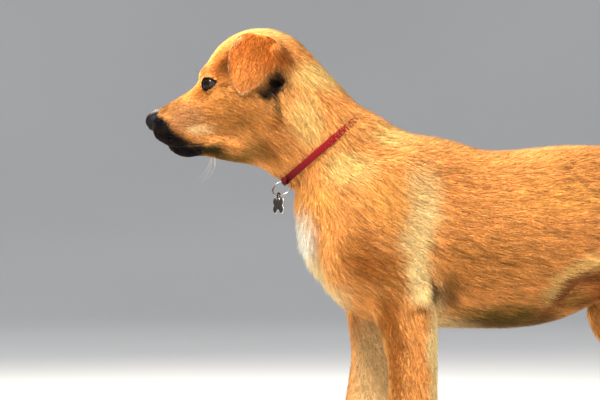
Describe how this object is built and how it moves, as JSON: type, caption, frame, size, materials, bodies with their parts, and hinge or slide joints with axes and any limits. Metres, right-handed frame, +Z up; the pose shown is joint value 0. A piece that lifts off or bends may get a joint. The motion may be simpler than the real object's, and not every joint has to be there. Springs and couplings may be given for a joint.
{
  "type": "dog",
  "caption": "Standing short-coated tan puppy looking straight ahead, with folded ears, a hanging tail and a thin collar with a ring and a bone-shaped tag.",
  "frame": {"origin": "the centre of the bottom of the whole model's box, on the floor under the chest and belly", "axes": "+Z up; the dog faces -Y, so +Y runs from the nose to the tail; +X towards the dog's left side"},
  "size_m": [0.1658, 0.6788, 0.5177],
  "materials": {
    "coat": "short golden tan fur with cream throat, chest, belly and inner legs",
    "ear_coat": "very short rust fur",
    "nose_leather": "moist pebbled black",
    "eye": "wet dark brown",
    "claw": "dark horn",
    "collar_webbing": "woven red webbing",
    "ring_steel": "bright plated wire",
    "tag_metal": "worn dark enamel, blank"
  },
  "bodies": {
    "root": {"head": "coat", "neck": "coat", "trunk": "coat", "tail": "coat", "foreleg_left": "coat", "forepaw_left": "coat", "hindleg_left": "coat", "hindpaw_left": "coat", "foreleg_right": "coat", "forepaw_right": "coat", "hindleg_right": "coat", "hindpaw_right": "coat", "ear_left": "ear_coat", "ear_right": "ear_coat", "nose": "nose_leather", "eye_left": "eye", "eye_right": "eye", "claw_fore_left_1": "claw", "claw_fore_left_2": "claw", "claw_fore_left_3": "claw", "claw_fore_left_4": "claw", "claw_fore_right_1": "claw", "claw_fore_right_2": "claw", "claw_fore_right_3": "claw", "claw_fore_right_4": "claw", "claw_hind_left_1": "claw", "claw_hind_left_2": "claw", "claw_hind_left_3": "claw", "claw_hind_left_4": "claw", "claw_hind_right_1": "claw", "claw_hind_right_2": "claw", "claw_hind_right_3": "claw", "claw_hind_right_4": "claw", "collar": "collar_webbing", "collar_loop": "collar_webbing", "collar_ring": "ring_steel", "tag": "tag_metal"}
  },
  "joints": []
}
